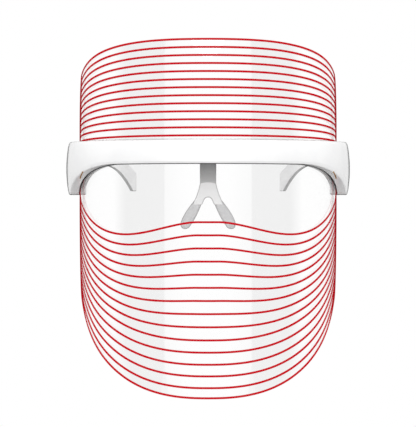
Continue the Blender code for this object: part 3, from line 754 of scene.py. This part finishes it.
def makeShadowLineSeal():
    # Thin round-edged black strip between shell and shield: a seal, and also a dark stand-in for the shadow
    # line under the band.
    run = np.linspace(-band["archRuns"][1], band["archRuns"][1], sealShadowLine["steps"])[:, None]
    angle = np.linspace(0, 2 * math.pi, sealShadowLine["sides"], endpoint=False)[None, :]
    out = sealShadowLine["out"] + sealShadowLine["halfDeep"] * squared(np.cos(angle), sealShadowLine["roundness"])
    height = bandLow(run) + sealShadowLine["up"] + sealShadowLine["halfHigh"] * squared(np.sin(angle), sealShadowLine["roundness"])
    piece = skin("lowerSealShadowLine", onPlan(run, out + 0 * run, height), finishes["seal_rubber"], sharp=60)
    settle(piece, "band", "seal_rubber", "lower_seal")


makeFrontShell()
makeShadowLineSeal()
print("band made")


# Arms.

hinge = {joint["child"]: joint["pos_m"] for joint in frame["joints"] if joint["type"] == "hinge"}
arms = {
    "hingeX": hinge["right_arm"][0],
    "hingeY": hinge["right_arm"][1],
    "lugRadius": 3.4 * mm,
    "neck": 1.0 * mm,                     # clear of the lugs before the arm starts
    "endY": 136 * mm,
    "tipX": 53.8 * mm,
    "bow": 0.35,                          # share of the way in that is even, the rest grows with the square
    "low": 35.4 * mm,
    "high": 48.2 * mm,
    "hookLow": 16.8 * mm,
    "hookFall": (0.40, 23.5 * mm, 3.0),   # where it starts, how far it would fall, its power
    "shoulderFall": (0.35, 18.2 * mm, 2.2),
    "thick": (3.4 * mm, 3.2 * mm),
    "tongue": (37.7 * mm, 44.7 * mm),
    "tongueRoot": (-1.7 * mm, 1.3 * mm),  # its sides, from the hinge along X
    "tongueOverlap": 2.5 * mm,
    "knuckleLess": 0.2 * mm,              # than the lugs' radius
    "knuckleEase": 0.25 * mm,
    "pinHole": (1.2 * mm, 36 * mm, 46 * mm, 0.01 * mm),   # radius, lowest, highest, eased rim
    "shadeFrom": 6 * mm,                  # behind the hinge
    "shadeFacing": (-0.2, 0.72),          # a face's normal: Z under the first, X within the second
    "shadeTip": 0.6 * mm,
    "steps": 110,
    "sides": 36,
    "roundness": 0.18,
}


def armX(y):
    part = (y - arms["hingeY"]) / (arms["endY"] - arms["hingeY"])
    inwards = arms["bow"] * part + (1 - arms["bow"]) * part ** 2
    return arms["hingeX"] - (arms["hingeX"] - arms["tipX"]) * inwards


def curving(part, curve):
    # How far a curve of this (start, fall, power) has fallen at this part of the arm.
    start, fall, power = curve
    return fall * (np.clip(part - start, 0, None) / (1 - start)) ** power


def makeArm(side, name, body, node):
    # Upright rounded-rectangle sections carried back along the bowed centre line, falling into the hook.
    start = arms["hingeY"] + arms["lugRadius"] + arms["neck"]
    part = (1 - np.cos(np.linspace(0, math.pi, arms["steps"]))) / 2
    part = part[:, None]
    y = start + (arms["endY"] - start) * part
    low = np.maximum(arms["low"] - curving(part, arms["hookFall"]), arms["hookLow"])
    high = arms["high"] - curving(part, arms["shoulderFall"])
    slope = (armX(y + mm) - armX(y - mm)) / (2 * mm)
    reach = 1 / np.sqrt(1 + slope ** 2)
    thick = arms["thick"][0] + (arms["thick"][1] - arms["thick"][0]) * part
    across, up = superRing(thick / 2, (high - low) / 2, arms["sides"], arms["roundness"])
    x, middle = armX(y), (low + high) / 2
    ring = np.stack([side * (x + across * reach), y - across * slope * reach, middle + up], -1)
    piece = skin(name, ring, finishes["white_shell"], sharp=50)
    combined(piece, [tongueBox(side), tongueRound(side)], "UNION")
    combined(piece, [pinHole(side)], "DIFFERENCE")
    smoothShade(piece, sharp=35)
    # Marks the faces that get painted grey shade: the underside and the tip end.
    markFaces(piece, "painted_shade", armPaintedShade)
    settle(piece, body, "white_shell", node)


def markFaces(piece, name, chosen):
    # Stores 1 on the faces that chosen(normals, centres) picks, 0 on the rest.
    count = len(piece.data.polygons)
    normals, centres = np.empty(count * 3), np.empty(count * 3)
    piece.data.polygons.foreach_get("normal", normals)
    piece.data.polygons.foreach_get("center", centres)
    mark = piece.data.attributes.new(name, "FLOAT", "FACE")
    mark.data.foreach_set("value", chosen(normals.reshape(-1, 3), centres.reshape(-1, 3)).astype(float))


def armPaintedShade(normals, centres):
    # Painted shade: along the lower edge past the knuckle, and at the tip.
    down, sideways = arms["shadeFacing"]
    under = (normals[:, 2] < down) & (np.abs(normals[:, 0]) < sideways)
    past = centres[:, 1] > arms["hingeY"] + arms["shadeFrom"]
    return (under & past) | (centres[:, 1] > arms["endY"] - arms["shadeTip"])


def tongueBox(side):
    low, high = arms["tongue"]
    inner, outer = arms["tongueRoot"]
    y = np.array([arms["hingeY"], arms["hingeY"] + arms["lugRadius"] + arms["tongueOverlap"]])
    x = arms["hingeX"] + np.array([inner, outer, outer, inner])
    ring = np.stack(np.broadcast_arrays(side * x, y[:, None], np.array([low, low, high, high])), -1)
    return skin("tongueBox", ring, finishes["white_shell"])


def uprightRound(name, x, y, radius, low, high, ease, sides=48):
    # A turned post with eased rims, each with one corner near the middle of a quarter circle.
    angle = np.linspace(0, 2 * math.pi, sides, endpoint=False)[None, :]
    corner = ease * 0.3
    rim = np.array([[radius - ease, low], [radius - corner, low + corner], [radius, low + ease],
                    [radius, high - ease], [radius - corner, high - corner], [radius - ease, high]])
    out, height = rim[:, :1], rim[:, 1:]
    ring = np.stack([x + out * np.cos(angle), y + out * np.sin(angle), height + 0 * angle], -1)
    return skin(name, ring, finishes["white_shell"])


def tongueRound(side):
    radius = arms["lugRadius"] - arms["knuckleLess"]
    return uprightRound("tongueRound", side * arms["hingeX"], arms["hingeY"], radius,
                        *arms["tongue"], arms["knuckleEase"])


def pinHole(side):
    return uprightRound("pinHole", side * arms["hingeX"], arms["hingeY"], *arms["pinHole"])


def makeRearShell():
    piece = refined("rear_shell", rearWhiteEdgeShade(), edge=0.2 * mm)
    settle(piece, "band", "white_shell", "rear_shell")


makeRearShell()
makeArm(-1, "armLeft", "left_arm", "arm_left")
makeArm(1, "armRight", "right_arm", "arm_right")
print("arms made")


# Nose piece.

nose = {
    # In mm: levels from the stem's top down, and where the sheet's middle lies along Y at each.
    "levels": (45.4, 34, 27.6, 21.6, 16.6, 12.6, 6, 0),
    "depths": (-25.6, -25.6, -21.2, -14.8, -11.4, -9.7, -7.5, -5.3),
    "levelSteps": 200,
    "evenSteps": 11,                      # to each side, over which the corners are evened out
    "bottom": 6.2 * mm,                   # of the part that spans both legs
    "half": 5.35 * mm,
    "thick": 2.4 * mm,
    "flareFrom": 20 * mm,
    "flare": (0.2, 11.7),                 # share of the way down, and of its square
    "bridgeSteps": 120,
    "bridgeSides": 40,
    "bridgeRoundness": 0.3,
    "archRadius": 2.8 * mm,
    "archCentre": 8.1 * mm,
    "archSide": 0.42,                     # radians off upright, of the sides below the half circle
    "archSteps": 60,
    "archPast": 2 * mm,                   # how far its cutter goes past the bottom
    "archThrough": (-20 * mm, 5 * mm),
    "leg": ((2.4, -10.5, 17.0), (4.6, -7.0, 9.5), (13.2, -4.0, -2.0), (15.7, -3.0, -8.4)),
    "legHalf": (2.75 * mm, 1.85 * mm),
    "legSpan": (0.36, 0.985),             # parts of the leg's centre line, as the other spans are
    "legSteps": 40,
    "legSides": 32,
    "legRoundness": 0.6,
    "padSpan": (0.38, 1.08),
    "padSteps": 90,
    "padHalf": (2.8 * mm, 0.95 * mm),     # at its top, and what its belly adds
    "padDeep": (1.9 * mm, 0.6 * mm),
    "padBelly": 0.95,                     # share of its length that the belly takes
    "padTip": 0.78,                       # share of its length where the half-oval tip starts
    "padTipLeast": 0.03,
    "padGap": 0.3 * mm,
    "socketSpan": (0.32, 1.02),
    "socketSteps": 30,
    "voxel": 0.25 * mm,
    "smoothRounds": 3,
    "rimShadeWide": 0.9 * mm,
}


def bezierPoint(part, side):
    # Cubic curve of a leg's centre line.
    a, b, c, d = (np.array(point) * mm * (side, 1, 1) for point in nose["leg"])
    rest = 1 - part
    return a * rest ** 3 + 3 * b * rest ** 2 * part + 3 * c * rest * part ** 2 + d * part ** 3


def legRings(side, span, steps, wide, thick):
    # Rounded sections square to a leg's centre line. wide and thick are half sizes by the part along it.
    part = np.linspace(*span, steps + 1)[:, None]
    centre = bezierPoint(part, side)
    ahead = bezierPoint(part + 0.01, side) - bezierPoint(part - 0.01, side)
    ahead /= np.linalg.norm(ahead, axis=1, keepdims=True)
    across = np.cross([0, 1, 0], ahead)
    across /= np.linalg.norm(across, axis=1, keepdims=True)
    through = np.cross(ahead, across)
    u, v = superRing(wide(part), thick(part), nose["legSides"], nose["legRoundness"])
    return centre[:, None] + across[:, None] * u[..., None] + through[:, None] * v[..., None]


def legHalf(part):
    return nose["legHalf"][0] + (nose["legHalf"][1] - nose["legHalf"][0]) * part


def bridgeMiddle(height):
    # The bridge's middle plane: straight between the listed levels, then evened out.
    fine = np.linspace(nose["levels"][-1], nose["levels"][0], nose["levelSteps"])
    depth = np.interp(fine, nose["levels"][::-1], nose["depths"][::-1])
    window = np.hanning(2 * nose["evenSteps"] + 1)
    padded = np.pad(depth, nose["evenSteps"], mode="edge")
    depth = np.convolve(padded, window / window.sum(), mode="valid")
    return np.interp(height / mm, fine, depth) * mm


def bridgeSlope(height):
    return (bridgeMiddle(height + mm / 2) - bridgeMiddle(height - mm / 2)) / mm


def bridgeHalf(height):
    down = np.clip(nose["flareFrom"] - height, 0, None)
    return nose["half"] + nose["flare"][0] * down + nose["flare"][1] * down ** 2


def markRimShade(piece, inside):
    # Stores a rim mark that paints darker shade near the outline. inside gives how far each point lies from
    # the piece's outline, seen square on.
    places = np.empty(len(piece.data.vertices) * 3)
    piece.data.vertices.foreach_get("co", places)
    rim = piece.data.attributes.new("rim", "FLOAT", "POINT")
    rim.data.foreach_set("value", 1 - np.clip(inside(places.reshape(-1, 3)) / nose["rimShadeWide"], 0, 1))


def insideBridge(places):
    # The nearer of the outer edge and the arch.
    x, z = np.abs(places[:, 0]), places[:, 2]
    centre, radius = nose["archCentre"], nose["archRadius"]
    cosine, sine = math.cos(nose["archSide"]), math.sin(nose["archSide"])
    ring = np.hypot(x, z - centre) - radius
    side = x * cosine + (z - centre) * sine - radius
    return np.minimum(bridgeHalf(z) - x, np.where(z > centre + radius * sine, ring, side))


def insidePad(places):
    # Half width at the nearest point of the leg's centre line, less the distance to it.
    part = np.linspace(nose["padSpan"][0], nose["padSpan"][1], 150)
    centre = bezierPoint(part[:, None], 1)
    away = np.hypot(np.abs(places[:, :1]) - centre[None, :, 0], places[:, 2:] - centre[None, :, 2])
    near = away.argmin(1)
    return padSwell(part[near], nose["padHalf"]) - away.min(1)


def bridgeRings():
    # Level sections: the stem's constant width, then a flare that spans both legs.
    height = np.linspace(nose["levels"][0] * mm, nose["bottom"], nose["bridgeSteps"])[:, None]
    halfDeep = nose["thick"] / 2 * np.sqrt(1 + bridgeSlope(height) ** 2)
    u, v = superRing(bridgeHalf(height), halfDeep, nose["bridgeSides"], nose["bridgeRoundness"])
    return np.stack([u, bridgeMiddle(height) + v, height + 0 * u], -1)


def archCutter():
    # Prism through the bridge: a half circle that turns into two spreading sides.
    centre, radius = nose["archCentre"], nose["archRadius"]
    angle = np.linspace(nose["archSide"], math.pi - nose["archSide"], nose["archSteps"])
    x, z = radius * np.cos(angle), centre + radius * np.sin(angle)
    foot = nose["bottom"] - nose["archPast"]
    footHalf = x[0] + math.tan(nose["archSide"]) * (z[0] - foot)
    x, z = np.concatenate([[footHalf], x, [-footHalf]]), np.concatenate([[foot], z, [foot]])
    rings = [np.stack([x, 0 * x + y, z], -1) for y in nose["archThrough"]]
    return skin("arch", np.stack(rings), finishes["frosted_grey"])


def makeNoseBridge():
    grey = finishes["frosted_grey"]
    piece = skin("noseBridge", bridgeRings(), grey)
    combined(piece, [archCutter()], "DIFFERENCE")
    legs = [skin("leg", legRings(side, nose["legSpan"], nose["legSteps"], legHalf,
                                 lambda part: nose["thick"] / 2 + 0 * part), grey) for side in (-1, 1)]
    combined(piece, legs, "UNION")
    blendShape(piece, nose["voxel"], nose["smoothRounds"])
    markRimShade(piece, insideBridge)
    settle(piece, "nose_piece", "frosted_grey", "nose_bridge")


def blendShape(piece, voxel, rounds):
    # Even out joined shapes: voxels, then a little smoothing.
    even = piece.modifiers.new("even", "REMESH")
    even.mode, even.voxel_size = "VOXEL", voxel
    ease = piece.modifiers.new("ease", "SMOOTH")
    ease.factor, ease.iterations = 0.5, rounds
    applied(piece)
    piece.data.shade_smooth()


def padSwell(part, sizes):
    # A belly between the pad's top and a half-oval tip.
    along = (part - nose["padSpan"][0]) / (nose["padSpan"][1] - nose["padSpan"][0])
    tip = np.clip(along - nose["padTip"], 0, None) / (1 - nose["padTip"])
    belly = np.sin(math.pi * np.clip(along / nose["padBelly"], 0, 1))
    return (sizes[0] + sizes[1] * belly) * np.sqrt(np.clip(1 - tip ** 2, nose["padTipLeast"], 1))


def makeNosePads():
    soft = finishes["silicone"]
    for side, name, node in ((-1, "nosePadLeft", "nose_pad_left"), (1, "nosePadRight", "nose_pad_right")):
        piece = skin(name, legRings(side, nose["padSpan"], nose["padSteps"],
                                    lambda part: padSwell(part, nose["padHalf"]),
                                    lambda part: padSwell(part, nose["padDeep"])), soft)
        socket = skin("socket", legRings(side, nose["socketSpan"], nose["socketSteps"],
                                         lambda part: legHalf(part) + nose["padGap"],
                                         lambda part: nose["thick"] / 2 + nose["padGap"] + 0 * part), soft)
        combined(piece, [socket], "DIFFERENCE")
        smoothShade(piece, sharp=50)
        markRimShade(piece, insidePad)
        settle(piece, "nose_piece", "silicone", node)


makeNoseBridge()
makeNosePads()
print("nose piece made")


# Small parts: the same shapes with eased edges.

easedEdges = {
    "power_button": 0.25 * mm, "charging_port": 0.1 * mm, "tact_switch": 0.15 * mm, "battery": 0.8 * mm,
    "hinge_pin": 0.2 * mm, "shell_screw": 0.12 * mm, "led_left": 0.12 * mm, "led_right": 0.12 * mm,
    "main_board": 0.1 * mm, "led_board": 0.1 * mm,
}


def easeSmallParts():
    for part in frame["record"]["subparts"]:
        node, slot = part["node"], part["material_slot"]
        edges = [size for start, size in easedEdges.items() if node.startswith(start)]
        if edges:
            settle(refined(node, finishes[slot], edges[0]), nodes[node]["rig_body"], slot, node)


easeSmallParts()
print("small parts eased")


# Studio.

studio = {
    "distance": 1.2,                      # camera to the shield's front
    "dotsPerMetre": 1550,                 # of the finished picture, at the shield's front
    "frameWide": 416,
    "frameHigh": 427,
    "sensor": 36.0,
    "shift": (-0.0002, 0.0012),
    "floorDrop": 0.45,
    "floorSize": 60.0,
    # Angle round from the camera in degrees, and the level that polished faces see there.
    "panels": ((0, 1), (17, 1), (34.2, 0.7), (34.8, 0), (68, 0), (80, 1), (158, 1), (168, 0)),
    "roomLight": (0.74, 0.6, 0.37),       # even part, more from the front, more from above
    "keyLight": {"place": (0, -1.6, 0.9), "target": (0, 0, 0.03), "size": 0.9, "power": 4},
}


def makeCamera():
    data = bpy.data.cameras.new("camera")
    data.sensor_width = studio["sensor"]
    longSide = max(studio["frameWide"], studio["frameHigh"])
    data.lens = studio["sensor"] * studio["dotsPerMetre"] * studio["distance"] / longSide
    data.shift_x, data.shift_y = studio["shift"]
    camera = bpy.data.objects.new("camera", data)
    camera.location = (0, shieldLow.y - studio["distance"], 0)
    camera.rotation_euler = (math.pi / 2, 0, 0)
    bpy.context.scene.collection.objects.link(camera)
    bpy.context.scene.camera = camera


def makeFloor():
    material = bpy.data.materials.new("floor pale")
    material.use_nodes = True
    tree = material.node_tree
    tree.nodes.remove(tree.nodes["Principled BSDF"])
    glow = addNode(tree, "ShaderNodeEmission", {"Color": (1, 1, 1, 1), "Strength": 1.0})
    tree.links.new(glow.outputs[0], tree.nodes["Material Output"].inputs["Surface"])
    half, z = studio["floorSize"] / 2, shieldLow.z - studio["floorDrop"]
    corners = np.array([[-half, -half, z], [half, -half, z], [half, half, z], [-half, half, z]])
    floor = meshFrom("floor", corners, [[0, 1, 2, 3]], material)
    floor.visible_glossy = False
    floor.visible_diffuse = False


def mirrorRamp(tree, way):
    # Level by the angle from the camera: white, a dark upright panel to each side, white, dark behind.
    sideways = mathOn(tree, "ABSOLUTE", way["X"])
    forwards = mathOn(tree, "MULTIPLY", way["Y"], -1.0)
    angle = mathOn(tree, "ARCTAN2", sideways, forwards)
    ramp = addNode(tree, "ShaderNodeValToRGB", {"Fac": mathOn(tree, "DIVIDE", angle, math.pi)})
    elements = ramp.color_ramp.elements
    while len(elements) < len(studio["panels"]):
        elements.new(0.5)
    for element, (degrees, level) in zip(elements, studio["panels"]):
        element.position = degrees / 180
        element.color = (level, level, level, 1)
    return ramp.outputs["Color"]


def roomLevel(tree, way):
    # Even light, stronger from the front and from above.
    even, front, above = studio["roomLight"]
    level = mathOn(tree, "MULTIPLY_ADD", way["Y"], -front, even)
    return greyOf(tree, mathOn(tree, "MULTIPLY_ADD", way["Z"], above, level))


def makeWorld():
    # The camera sees plain white, polished faces see the panels, and everything else is lit by the room.
    world = bpy.data.worlds.new("studio")
    world.use_nodes = True
    bpy.context.scene.world = world
    tree = world.node_tree
    way = axesOf(tree, addNode(tree, "ShaderNodeTexCoord").outputs["Generated"])
    path = addNode(tree, "ShaderNodeLightPath").outputs
    colour = blendColour(tree, path["Is Camera Ray"], roomLevel(tree, way), (1, 1, 1))
    colour = blendColour(tree, path["Is Glossy Ray"], colour, mirrorRamp(tree, way))
    background = tree.nodes["Background"]
    tree.links.new(colour, background.inputs["Color"])
    background.inputs["Strength"].default_value = 1.0


def makeLight(name, place, target, size, power):
    data = bpy.data.lights.new(name, "AREA")
    data.shape, data.size, data.energy = "DISK", size, power
    light = bpy.data.objects.new(name, data)
    light.location = place
    light.rotation_euler = (Vector(target) - Vector(place)).to_track_quat("-Z", "Y").to_euler()
    bpy.context.scene.collection.objects.link(light)


makeCamera()
makeFloor()
makeWorld()
makeLight("key", **studio["keyLight"])
bpy.context.scene.view_settings.view_transform = "Standard"
print("studio made")
